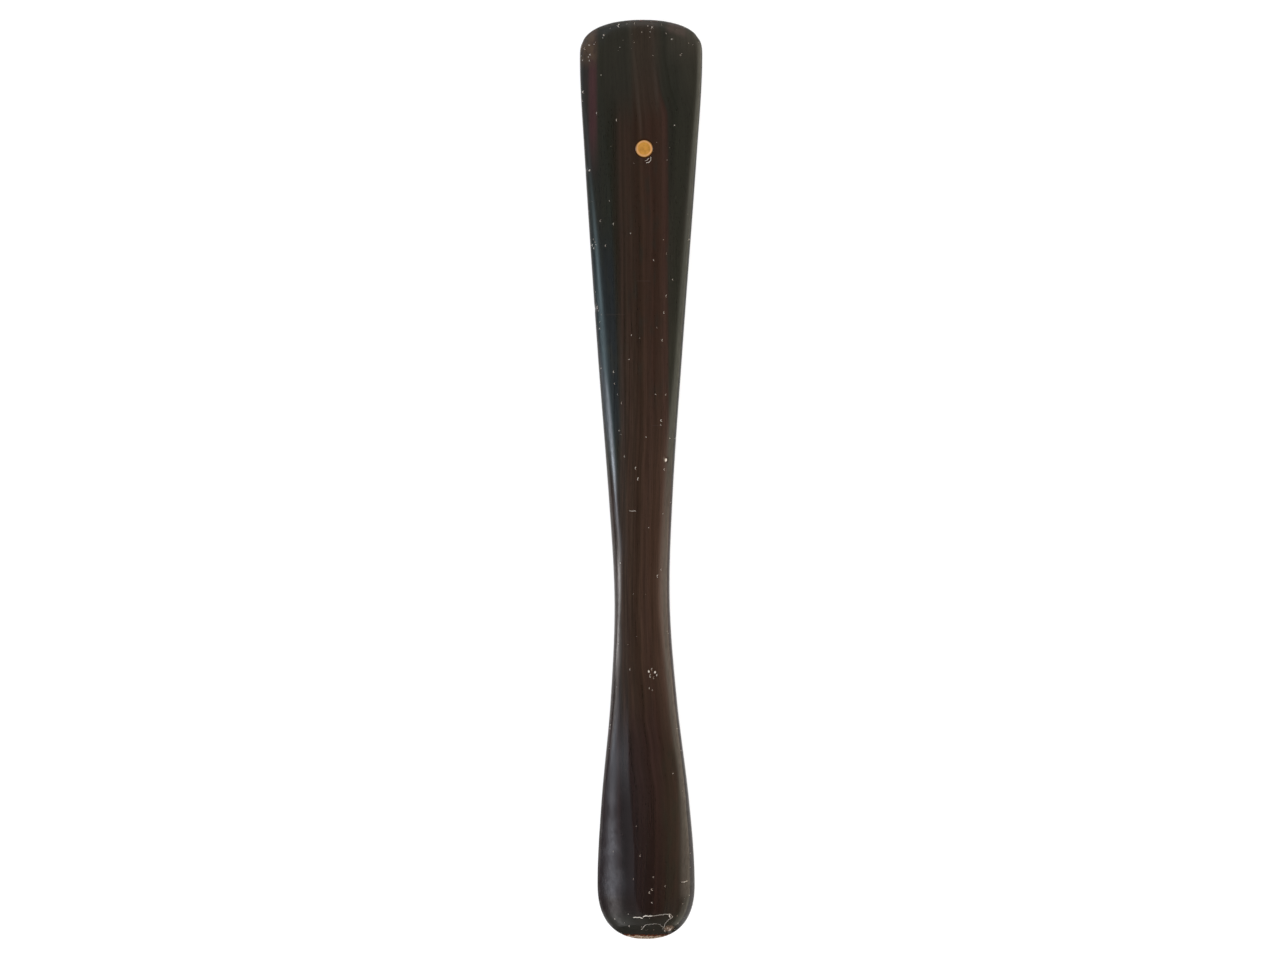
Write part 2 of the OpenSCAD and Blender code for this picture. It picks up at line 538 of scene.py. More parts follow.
@dataclass
class WoodenBody:
    """Handle, waist and blade, carved from one blank. The fields are sizes in millimetres."""

    overall_l: float
    handle_w: float
    pin_x: float
    pin_y: float
    hole_d: float
    bow: float = 1.3
    blade_w: float = 40.3
    blade_h: float = 8.4
    tip_l: float = 23.0
    blade_edge_h: float = 1.4
    blade_wall: float = 2.6
    rim_land: float = 0.8
    hollow_l: float = 150.0
    shoulder_h: float = 10.0
    shoulder_edge_h: float = 4.2
    shoulder_hollow: float = 5.6
    waist_from_tip: float = 140.0
    waist_w: float = 22.9
    waist_h: float = 11.0
    waist_edge_h: float = 5.0
    waist_edge_r: float = 5.0
    handle_h: float = 7.6
    end_l: float = 15.0
    handle_edge_h: float = 3.4
    handle_edge_r: float = 3.0
    tip_power: float = 2.4
    end_power: float = 2.2
    end_squareness: float = 2.8
    hollow_full: float = 0.8
    hand_work: float = 0.12
    tip_wear: float = 0.2
    rings: int = 400
    points_round: int = 180
    hole_sides: int = 96
    tip_share: float = 0.11
    end_share: float = 0.91
    dents: tuple[Dent, ...] = (
        Dent(-19.6, 71.0, 1.6, 0.45),
        Dent(-22.6, 128.0, 1.3, 0.3),
        Dent(9.2, 8.5, 1.3, 0.3),
        Dent(3.6, -79.5, 2.2, 0.22),
        Dent(10.5, -186.0, 2.0, 0.5),
        Dent(-23.6, 180.5, 1.8, 0.35),
        Dent(23.0, 182.5, 2.0, 0.3),
    )

    def build(self, finish: bpy.types.Material) -> bpy.types.Object:
        """Carves the body.

        Args:
            finish: The lacquered wood.

        Returns:
            The finished piece.
        """
        tree = SizedTree("carve_wood", self)
        g, s = tree.graph, tree.sizes
        size = {"Size X": 1.0, "Size Y": 1.0, "Vertices X": s.rings, "Vertices Y": s.points_round + 1.0}
        sheet = g.node("GeometryNodeMeshGrid", None, size).out("Mesh")
        along, around, _ = g.split(g.node("GeometryNodeInputPosition").out())
        surface = self._surface(g, s, along + 0.5, around + 0.5)
        values = {"Geometry": g.moved(sheet, "Position", surface), "Distance": MM / 1000}
        closed = g.node("GeometryNodeMergeByDistance", None, values).out()
        worn = self._worn(g, s, closed)
        drilled = self._drilled(g, s, worn)
        sharp = g.node("GeometryNodeInputMeshEdgeAngle").out("Unsigned Angle") > SHARP_ANGLE
        values = {"Geometry": drilled, "Selection": sharp, "Shade Smooth": False}
        tree.finish(g.node("GeometryNodeSetShadeSmooth", {"domain": "EDGE"}, values).out(), finish)
        return tree.grown_on(bpy.data.meshes.new("blank"), "wooden_body_carved")

    def _surface(self, g: Graph, s: SimpleNamespace, along: Sock, around: Sock) -> Sock:
        """Where each point of the sheet lies on the body.

        Args:
            g: The tree's graph.
            s: The sizes, as sockets.
            along: From 0 at the tip to 1 at the end of the handle.
            around: From 0 at the right edge, over the crown, and back underneath to 1.

        Returns:
            The point, in metres.
        """
        tip_y, end_y = s.overall_l * -0.5, s.overall_l * 0.5
        blade_y, handle_y = tip_y + s.tip_l, end_y - s.end_l
        waist_y = tip_y + s.waist_from_tip
        shoulder_y = (waist_y + blade_y) * 0.5
        grip_y = waist_y + (handle_y - waist_y) * 0.37

        # Places along the length, closer together in the two rounded ends
        into_tip = ((1.0 - along / s.tip_share).held() * (math.pi / 2)).sine() ** (2 / s.tip_power)
        into_end = ((along - s.end_share) / (1.0 - s.end_share)).held() * (math.pi / 2)
        into_end = into_end.sine() ** (2 / s.end_squareness)
        middle = ((along - s.tip_share) / (s.end_share - s.tip_share)).held()
        y = blade_y - s.tip_l * into_tip + (handle_y - blade_y) * middle + s.end_l * into_end
        left = (1.0 - into_tip ** s.tip_power - into_end ** s.end_squareness).held()
        at_tip = y < waist_y
        power = s.end_power + (s.tip_power - s.end_power) * at_tip

        def flank_y(to_y: Sock, share: float) -> Sock:
            """A place between the waist and the blade or the handle."""
            return waist_y + (to_y - waist_y) * share

        def flank_w(to_w: Sock, share: float) -> Sock:
            """A half width between the waist's and that of the blade or the handle."""
            return (s.waist_w + (to_w - s.waist_w) * share) * 0.5

        side = size_along([
            (blade_y, s.blade_w * 0.5),
            (flank_y(blade_y, 0.71), flank_w(s.blade_w, 0.775)),
            (flank_y(blade_y, 0.35), flank_w(s.blade_w, 0.265)),
            (waist_y, s.waist_w * 0.5),
            (flank_y(handle_y, 0.19), flank_w(s.handle_w, 0.125)),
            (flank_y(handle_y, 0.46), flank_w(s.handle_w, 0.44)),
            (flank_y(handle_y, 0.83), flank_w(s.handle_w, 0.86)),
            (handle_y, s.handle_w * 0.5),
        ], y)
        places = (blade_y, shoulder_y, waist_y, grip_y, handle_y)

        def sized(*sizes: "Sock | Number") -> Sock:
            """A size given at the blade, the shoulder, the waist, the grip and the handle."""
            return size_along(list(zip(places, sizes)), y)

        grip_h = s.waist_h + (s.handle_h - s.waist_h) * 0.24
        crown = sized(s.blade_h, s.shoulder_h, s.waist_h, grip_h, s.handle_h)
        grip_edge_h = s.waist_edge_h * 0.92
        edge = sized(s.blade_edge_h, s.shoulder_edge_h, s.waist_edge_h, grip_edge_h, s.handle_edge_h)
        grip_r = (s.waist_edge_r + s.handle_edge_r) * 0.5
        edge_r = sized(s.blade_edge_h, s.shoulder_edge_h * 0.8, s.waist_edge_r, grip_r, s.handle_edge_r)
        flat_right = sized(3.9, 3.8, 2.0, 2.5, 3.4)
        flat_left = sized(2.3, 3.0, 4.4, 2.6, 3.3)
        full = sized(1.3, 2.6, 2.3, 2.6, 3.4)
        hollow_deep = size_along([
            (blade_y, s.blade_h - s.blade_wall),
            (shoulder_y, s.shoulder_hollow),
            (tip_y + s.hollow_l, 0.0),
        ], y)
        bow_start_y = blade_y + s.tip_l
        middle_x = -size_along([
            (tip_y, 0.0),
            (bow_start_y, 0.0),
            ((bow_start_y + handle_y) * 0.5, s.bow),
            (handle_y, 0.0),
            (end_y, s.bow * -0.2),
        ], y)

        # The section: u runs across the width, and near is 0 in the middle and 1 on the outline
        u = (around * (2 * math.pi)).cosine()
        near = (1.0 - left * (1.0 - abs(u) ** power)).held() ** (1 / power)
        flat = flat_left + (flat_right - flat_left) * u.fade(-0.5, 0.5)
        top = edge + (crown - edge) * (1.0 - near ** flat).held() ** (1 / full)
        inside = (1.0 - near) * side
        rounding = 1.0 - (inside / edge_r).held()
        reach = side - edge_r - s.rim_land
        hollow = ((inside - edge_r - s.rim_land) / reach).held()
        under = edge * (1.0 - (1.0 - rounding * rounding).root())
        under = under + hollow_deep * (1.0 - (1.0 - hollow) * (1.0 - hollow)) ** s.hollow_full
        over = around < 0.5
        z = under + (top - under) * over
        x = middle_x + side * left ** (1 / power) * u
        return g.vector_math("SCALE", g.vector(x, y, z), scale=MM)

    def _worn(self, g: Graph, s: SimpleNamespace, body: Sock) -> Sock:
        """The body with the unevenness of hand work, its dents and its worn tip and end.

        Args:
            g: The tree's graph.
            s: The sizes, as sockets.
            body: The plain body.

        Returns:
            The worn body, which nowhere stands outside the plain one.
        """
        place = g.position_mm()
        normal = g.node("GeometryNodeInputNormal").out()
        x, y, _ = g.split(place)
        _, _, up = g.split(normal)
        upper = up.fade(-0.3, 0.3)
        swell = g.noise(g.vector_math("MULTIPLY", place, (0.06, 0.018, 0.06)), detail=1.0)
        depth = swell * s.hand_work * upper
        for dent in self.dents:
            off_x, off_y = x - dent.x, y - dent.y
            near = (1.0 - (off_x * off_x + off_y * off_y) / dent.radius ** 2).held()
            depth = depth + near * near * dent.depth * upper
        level = 1.0 - abs(up)
        chewed = g.noise(place, scale=0.55, detail=4.0, roughness=0.65).fade(0.42, 0.75)
        at_tip = y.fade(-186.0, -189.0)
        at_end = y.fade(186.0, 189.5)
        depth = depth + chewed * level * (at_tip + at_end * 0.6) * s.tip_wear
        return g.moved(body, "Offset", g.vector_math("SCALE", normal, scale=depth * -MM))

    def _drilled(self, g: Graph, s: SimpleNamespace, body: Sock) -> Sock:
        """The body with the hole for the pin, from face to face.

        Args:
            g: The tree's graph.
            s: The sizes, as sockets.
            body: The worn body.

        Returns:
            The drilled body.
        """
        values = {"Vertices": s.hole_sides, "Radius": s.hole_d * (0.5 * MM), "Depth": s.waist_h * (4 * MM)}
        drill = g.node("GeometryNodeMeshCylinder", {"fill_type": "NGON"}, values).out("Mesh")
        at = g.vector(s.pin_x * MM, s.pin_y * MM, 0.0)
        placed = g.node("GeometryNodeTransform", None, {"Geometry": drill, "Translation": at}).out()
        cut = {"Mesh 1": body, "Mesh 2": [placed]}
        settings = {"operation": "DIFFERENCE", "solver": "MANIFOLD"}
        return g.node("GeometryNodeMeshBoolean", settings, cut).out("Mesh")


# ---------------------------------------------------------------------------------------------
# The brass pin
# ---------------------------------------------------------------------------------------------


@dataclass
class BrassPin:
    """The pin through the handle, ground flush with both faces. The fields are millimetres."""

    x: float
    y: float
    radius: float
    top: float
    bevel: float = 0.45
    dome: float = 0.08
    fall: float = 0.02
    segments: int = 96
    bevel_steps: int = 4

    def profile(self) -> list[tuple[float, float]]:
        """The pin's half section.

        Returns:
            Its (radius, height) points, from the lower face out, up and in to the upper one.
        """
        r, bevel, top = self.radius, self.bevel, self.top - self.dome
        ground = [(r * share, self.dome * (1 - share ** 2)) for share in (0.3, 0.6, 0.8)]
        ground = [(out, rise) for out, rise in ground if out < r - bevel]
        lower = [(out, 0.0) for out, _ in ground]
        rounded = []
        for step in range(self.bevel_steps + 1):
            turn = math.pi / 2 * step / self.bevel_steps
            rounded.append((r - bevel * (1 - math.cos(turn)), top - bevel * (1 - math.sin(turn))))
        upper = [(out, top + rise) for out, rise in reversed(ground)]
        return [*lower, (r - bevel, 0.0), (r, bevel), *rounded, *upper]

    def build(self, finish: bpy.types.Material) -> bpy.types.Object:
        """Turns the pin.

        Args:
            finish: The aged brass.

        Returns:
            The finished piece.
        """
        rings = self.profile()
        count = self.segments
        points = []
        for out, height in rings:
            for k in range(count):
                turn = 2 * math.pi * k / count
                east, north = out * math.cos(turn), out * math.sin(turn)
                tilt = -self.fall * north * height / self.top
                points.append(((self.x + east) * MM, (self.y + north) * MM, (height + tilt) * MM))
        faces = []
        for r in range(len(rings) - 1):
            for k in range(count):
                a, b = r * count + k, r * count + (k + 1) % count
                faces.append((a, b, b + count, a + count))
        last = (len(rings) - 1) * count
        faces.append(tuple(reversed(range(count))))
        faces.append(tuple(range(last, last + count)))
        mesh = bpy.data.meshes.new("brass_pin_turned")
        mesh.from_pydata(points, [], faces)
        mesh.materials.append(finish)
        mesh.shade_smooth()
        return place_mesh(mesh, "brass_pin_turned")


# ---------------------------------------------------------------------------------------------
# The wear of the lacquer
# ---------------------------------------------------------------------------------------------

Place = tuple[float, float]


@dataclass(frozen=True)
class Chip:
    """A chip out of the lacquer: its place from above, its radius, and how long it is for its width."""

    x: float
    y: float
    radius: float
    stretch: float = 1.0


def chips_at(*rows: tuple[float, ...]) -> tuple[Chip, ...]:
    """Chips, each given by the numbers of Chip's fields."""
    return tuple(Chip(*row) for row in rows)


@dataclass(frozen=True)
class Crack:
    """A crack in the lacquer that has gone pale: its width and the places it runs through."""

    width: float
    places: tuple[Place, ...]


@dataclass
class LacquerWear:
    """Chips and cracks in the coat, laid on the wood from above. The fields are millimetres."""

    depth: float = 0.05
    proud: float = 0.02
    ragged: float = 0.5
    specks: float = 9000.0
    speck_min: float = 0.07
    speck_max: float = 0.26
    seed: int = 7
    above: float = 50.0
    side_level: float = 4.0
    flake: float = 0.68
    crescent_from: float = 0.55
    crack_step: float = 0.3
    crack_stray: float = 1.2
    chips: tuple[Chip, ...] = chips_at(
        # round the end of the handle
        (-2.5, 187.8, 0.35, 1.4), (-9.0, 187.0, 0.5, 1.6), (5.0, 186.2, 0.45, 0.5), (3.0, 186.8, 0.3),
        (0.5, 184.1, 0.22), (-14.9, 183.1, 0.45, 0.6), (-15.5, 181.9, 0.3), (-20.9, 179.1, 0.4, 0.5),
        (-23.1, 177.7, 0.4, 0.6), (-18.6, 180.1, 0.22), (-20.7, 175.1, 0.4, 0.6), (-21.5, 174.3, 0.3),
        (-21.2, 172.7, 0.25), (-23.9, 173.1, 0.3), (12.9, 181.1, 0.3, 0.5), (16.4, 174.6, 0.3, 0.5),
        (-16.3, 166.6, 0.25),
        # the handle's left side
        (-23.7, 160.0, 0.5), (-24.1, 156.5, 0.3), (-18.3, 151.0, 0.3, 1.4), (-10.1, 148.0, 0.35, 1.5),
        (-21.5, 127.6, 0.55, 1.4), (-13.2, 114.7, 0.22), (-16.9, 106.7, 0.42, 1.4),
        (-11.6, 105.2, 0.36, 1.4), (-4.6, 101.3, 0.25), (-20.3, 96.8, 0.42), (-14.9, 96.3, 0.36, 1.4),
        (-17.5, 62.5, 0.3), (-17.0, 46.1, 0.3), (-11.9, 44.6, 0.34, 1.5), (-11.5, 39.6, 0.3),
        (-19.9, 99.2, 0.3), (-19.3, 98.0, 0.28), (-19.7, 95.6, 0.32), (-18.9, 97.0, 0.2),
        (-18.5, 71.2, 0.45, 1.4), (-18.0, 69.8, 0.3), (-16.7, 68.2, 0.25), (-17.4, 65.0, 0.3),
        # its right side
        (10.1, 92.9, 0.32, 1.5), (4.8, 90.3, 0.32), (9.9, 75.4, 0.42, 1.5), (12.5, 82.3, 0.26),
        (8.9, 68.7, 0.38, 1.6), (5.9, 62.5, 0.26), (-4.5, 59.5, 0.25), (8.2, 57.3, 0.4), (9.4, 35.0, 0.3),
        (7.6, 24.4, 0.42, 0.7), (7.3, 22.6, 0.26),
        # the grip and the waist
        (-8.7, 31.7, 0.36, 1.8), (-10.3, 35.2, 0.24), (-9.8, 20.3, 0.25), (-7.6, 9.9, 0.36, 1.3),
        (9.1, 8.3, 0.85, 1.5), (8.7, 4.4, 0.4), (-3.1, 4.9, 0.4, 1.4), (-2.1, 0.6, 0.42, 1.6),
        (2.1, -19.4, 0.2), (7.1, -36.6, 0.3), (5.6, -39.4, 0.42, 1.5), (-9.6, -33.8, 0.3),
        (-5.9, -77.2, 0.3, 1.5),
        # the bruise at the top of the blade
        (1.6, -78.2, 0.6, 1.4), (3.0, -77.6, 0.42, 1.3), (4.2, -78.6, 0.62, 1.2), (2.4, -80.0, 0.5, 1.6),
        (3.8, -80.8, 0.4, 1.3), (5.1, -79.8, 0.34), (2.0, -85.1, 0.28), (3.2, -85.9, 0.26),
        # the blade
        (-2.2, -154.0, 0.32, 1.8), (-13.2, -152.6, 0.25), (3.3, -162.9, 0.34, 0.6),
        (2.7, -168.0, 0.5, 0.8), (1.5, -169.2, 0.4, 1.4), (8.1, -166.7, 0.36, 0.8),
        (2.6, -173.3, 0.3, 0.6), (-5.0, -163.7, 0.3, 1.6), (-6.8, -183.7, 0.36), (3.2, -185.2, 0.28),
        (13.3, -182.9, 0.3), (12.9, -179.3, 0.24), (-14.0, -100.6, 0.34), (-14.3, -102.0, 0.26),
        # the flaked corner of the tip
        (8.8, -184.6, 0.6, 1.3), (9.7, -185.6, 0.75, 1.2), (8.0, -185.9, 0.45), (10.8, -184.9, 0.4),
    )
    cracks: tuple[Crack, ...] = (
        Crack(0.3, ((-5.2, -179.8), (-3.4, -179.7), (-1.6, -179.9))),
        Crack(0.36, ((-1.6, -179.3), (0.4, -179.0), (2.3, -179.1))),
        Crack(0.11, ((2.3, -179.1), (3.4, -178.8), (5.4, -178.5), (7.9, -178.4))),
        Crack(0.14, ((7.9, -178.4), (9.4, -178.3), (10.2, -178.6), (10.9, -179.8))),
        Crack(0.1, ((10.9, -179.8), (9.6, -180.6), (8.4, -181.6), (7.6, -182.6), (7.4, -184.2))),
        Crack(0.3, ((9.7, -178.7), (9.4, -179.3), (9.9, -179.9))),
        Crack(0.18, ((-1.8, -185.2), (-1.2, -184.0), (-0.2, -183.0))),
        Crack(0.065, (
            (-0.2, -183.0), (1.6, -182.6), (4.0, -182.4), (5.6, -182.9), (6.8, -183.8), (7.0, -185.4),
        )),
        Crack(0.17, ((3.6, 132.7), (3.7, 131.6), (3.1, 130.7), (1.8, 130.3))),
        Crack(0.1, ((3.0, 132.1), (2.4, 131.4), (1.4, 131.1))),
        Crack(0.13, ((-6.1, -12.5), (-4.6, -12.4), (-3.2, -12.6))),
        Crack(0.16, ((14.3, -165.3), (15.9, -165.4), (17.1, -165.3))),
    )

    def build_chips(self, wood: bpy.types.Object, finish: bpy.types.Material) -> bpy.types.Object:
        """Lays the chips on the wood: the known ones, and fine specks where hands and floors wear it.

        Args:
            wood: The wooden body.
            finish: The pale wood that shows in a chip.

        Returns:
            The chips as one piece.
        """
        tree = SizedTree("lay_chips", self)
        g, s = tree.graph, tree.sizes
        body = g.node("GeometryNodeObjectInfo", None, {"Object": wood}).out("Geometry")
        _, _, up = g.split(g.node("GeometryNodeInputNormal").out())
        _, y, _ = g.split(g.position_mm())
        steep = up.fade(0.97, 0.7)
        ends = y.fade(170.0, 188.0) + y.fade(-176.0, -186.0)
        density = s.specks * (0.2 + steep * 1.6 + ends * 8.0)
        values = {"Mesh": body, "Selection": up > 0.15, "Density": density, "Seed": s.seed}
        specks = g.node("GeometryNodeDistributePointsOnFaces", None, values).out("Points")
        size = g.drawn("FLOAT", s.speck_min, s.speck_max, s.seed)
        specks = g.carrying(g.carrying(specks, "radius_mm", size), "stretch", 1.0)
        known = g.node("GeometryNodeMeshToPoints", None, {"Mesh": tree.geometry}).out()
        points = self._lifted(g, s, g.joined(known, specks))

        values = {"Vertices": 9, "Radius": s.flake * MM, "Depth": s.depth * (2 * MM)}
        flake = g.node("GeometryNodeMeshCylinder", {"fill_type": "NGON"}, values).out("Mesh")
        radius, stretch = g.carried("radius_mm"), g.carried("stretch")
        turn = g.drawn("FLOAT", 0.0, 2 * math.pi, s.seed + 1.0)
        values = {
            "Points": points,
            "Instance": g.joined(self._crescent(g, s), g.instance(flake)),
            "Pick Instance": True,
            "Instance Index": g.drawn("INT", 0, 1, s.seed + 2.0) * (radius < s.crescent_from),
            "Rotation": g.vector(0.0, 0.0, turn),
            "Scale": g.vector(radius * stretch, radius / stretch, 1.0),
        }
        laid = g.node("GeometryNodeInstanceOnPoints", None, values).out()
        real = g.node("GeometryNodeRealizeInstances", None, {"Geometry": laid}).out()
        reach = radius * s.ragged * (2 * MM)
        outline = g.vector_math("MULTIPLY", g.stray(1.6), g.vector(reach, reach, 0.0))
        ragged = g.moved(real, "Offset", outline)
        tree.finish(self._dropped(g, s, ragged, body), finish)

        start = bpy.data.meshes.new("chip_places")
        start.from_pydata([(c.x * MM, c.y * MM, self.above * MM) for c in self.chips], [], [])
        for name, numbers in (
            ("radius_mm", [c.radius for c in self.chips]),
            ("stretch", [math.sqrt(c.stretch) for c in self.chips]),
        ):
            start.attributes.new(name, "FLOAT", "POINT").data.foreach_set("value", numbers)
        return tree.grown_on(start, "lacquer_chips")

    def _crescent(self, g: Graph, s: SimpleNamespace) -> Sock:
        """A thin curved chip, as one instance.

        Args:
            g: The tree's graph.
            s: The sizes, as sockets.

        Returns:
            The crescent, a millimetre in radius.
        """
        values = {"Resolution": 9, "Radius": MM, "Sweep Angle": math.radians(190)}
        arc = g.node("GeometryNodeCurveArc", {"mode": "RADIUS"}, values).out("Curve")
        along = g.node("GeometryNodeSplineParameter").out("Factor")
        width = along * (1.0 - along) * 2.6 + 0.25
        return g.instance(g.ribbon(arc, MM * 0.6, s.depth * (2 * MM), width))

    def build_cracks(self, wood: bpy.types.Object, finish: bpy.types.Material) -> bpy.types.Object:
        """Runs the cracks over the wood.

        Args:
            wood: The wooden body.
            finish: The pale edge of cracked lacquer.

        Returns:
            The cracks as one piece.
        """
        tree = SizedTree("run_cracks", self)
        g, s = tree.graph, tree.sizes
        body = g.node("GeometryNodeObjectInfo", None, {"Object": wood}).out("Geometry")
        line = g.node("GeometryNodeMeshToCurve", None, {"Mesh": tree.geometry}).out()
        values = {"Curve": line, "Length": s.crack_step * MM}
        fine = g.node("GeometryNodeResampleCurve", {"mode": "LENGTH"}, values).out()
        reach = s.crack_stray * MM
        sideways = g.vector_math("MULTIPLY", g.stray(0.7), g.vector(reach, reach, 0.0))
        bent = g.moved(fine, "Offset", sideways)
        varied = g.carried("width_mm") * (0.35 + g.noise(g.position_mm(), scale=1.3) * 1.3)
        ribbon = g.ribbon(bent, MM, MM, varied)
        tree.finish(self._dropped(g, s, ribbon, body), finish)

        points, edges, widths = [], [], []
        for crack in self.cracks:
            first = len(points)
            points += [(x * MM, y * MM, self.above * MM) for x, y in crack.places]
            widths += [crack.width] * len(crack.places)
            edges += [(first + k, first + k + 1) for k in range(len(crack.places) - 1)]
        start = bpy.data.meshes.new("crack_places")
        start.from_pydata(points, edges, [])
        start.attributes.new("width_mm", "FLOAT", "POINT").data.foreach_set("value", widths)
        return tree.grown_on(start, "lacquer_cracks")

    @staticmethod
    def _lifted(g: Graph, s: SimpleNamespace, points: Sock) -> Sock:
        """The points, all brought to one level above the wood."""
        x, y, _ = g.split(g.node("GeometryNodeInputPosition").out())
        return g.moved(points, "Position", g.vector(x, y, s.above * MM))

    @staticmethod
    def _dropped(g: Graph, s: SimpleNamespace, shapes: Sock, body: Sock) -> Sock:
        """Lays flat shapes on the wood below them, each with its lower side sunk in.

        Args:
            g: The tree's graph.
            s: The sizes, as sockets.
            shapes: Closed flat shapes, lying level above the wood.
            body: The wood.

        Returns:
            The shapes, bent to the surface.
        """
        place = g.node("GeometryNodeInputPosition").out()
        x, y, z = g.split(place)
        rise = (z > s.above * MM) * (s.proud + s.depth) - s.depth
        ray = {
            "Target Geometry": body,
            "Source Position": place,
            "Ray Direction": (0.0, 0.0, -1.0),
            "Ray Length": 1.0,
        }
        hit = g.node("GeometryNodeRaycast", None, ray)
        values = {"Target": body, "Source Position": g.vector(x, y, s.side_level * MM)}
        nearest = g.node("GeometryNodeProximity", None, values).out("Position")
        values = {"Switch": hit.out("Is Hit"), "False": nearest, "True": hit.out("Hit Position")}
        on_wood = g.node("GeometryNodeSwitch", {"input_type": "VECTOR"}, values).out()
        outwards = g.vector_math("SCALE", hit.out("Hit Normal"), scale=rise * MM)
        return g.moved(shapes, "Position", g.vector_math("ADD", on_wood, outwards))


# ---------------------------------------------------------------------------------------------
# Finishes
# ---------------------------------------------------------------------------------------------


def new_material(name: str) -> tuple[bpy.types.Material, Graph, bpy.types.Node]:
    """A new material.

    Args:
        name: Its name.

    Returns:
        The material, its graph and its shader node.
    """
    material = bpy.data.materials.new(name)
    material.use_nodes = True
    return material, Graph(material.node_tree), material.node_tree.nodes["Principled BSDF"]


def feed(graph: Graph, shader: bpy.types.Node, values: dict[str, "Sock | Number | tuple"]) -> None:
    """Fills a shader's inputs.

    Args:
        graph: The material's graph.
        shader: The shader node.
        values: What each named input is set to or linked to.
    """
    for name, value in values.items():
        if isinstance(value, Sock):
            graph.tree.links.new(value.socket, shader.inputs[name])
        else:
            shader.inputs[name].default_value = value


Stops = tuple[tuple[float, Colour], ...]


def painted(*stops: tuple[float, int, int, int]) -> Stops:
    """Stops for a ramp, each given as its place and a painter's red, green and blue."""
    return tuple((place, from_srgb(*colour)) for place, *colour in stops)


def distance(x: Sock, y: Sock, at_x: float, at_y: float) -> Sock:
    """How far a place is from a point, seen from above."""
    off_x, off_y = x - at_x, y - at_y
    return (off_x * off_x + off_y * off_y).root()


def along_length(g: Graph, y: Sock, *stops: tuple[float, float]) -> Sock:
    """A number that runs smoothly through given values along the length.

    Args:
        g: The material's graph.
        y: The place along the length, in millimetres.
        stops: (place, value) pairs.

    Returns:
        The number.
    """
    return across(g, y, HALF_LENGTH, tuple((place, (value, value, value)) for place, value in stops), "EASE")


def across(g: Graph, place: Sock, reach: float, stops: Stops, blend: str = "LINEAR") -> Sock:
    """A colour that follows a ramp laid from -reach to reach.

    Args:
        g: The graph.
        place: Where the colour is wanted.
        reach: The ramp's end. It has the unit of place.
        stops: The ramp's (place, colour) pairs.
        blend: How it runs from one colour to the next.

    Returns:
        The colour.
    """
    spread = [((at + reach) / (2 * reach), colour) for at, colour in stops]
    share = (place + reach) / (2 * reach)
    made = g.node("ShaderNodeValToRGB", {"stops": spread}, {"Fac": share})
    made.node.color_ramp.interpolation = blend
    return made.out("Color")


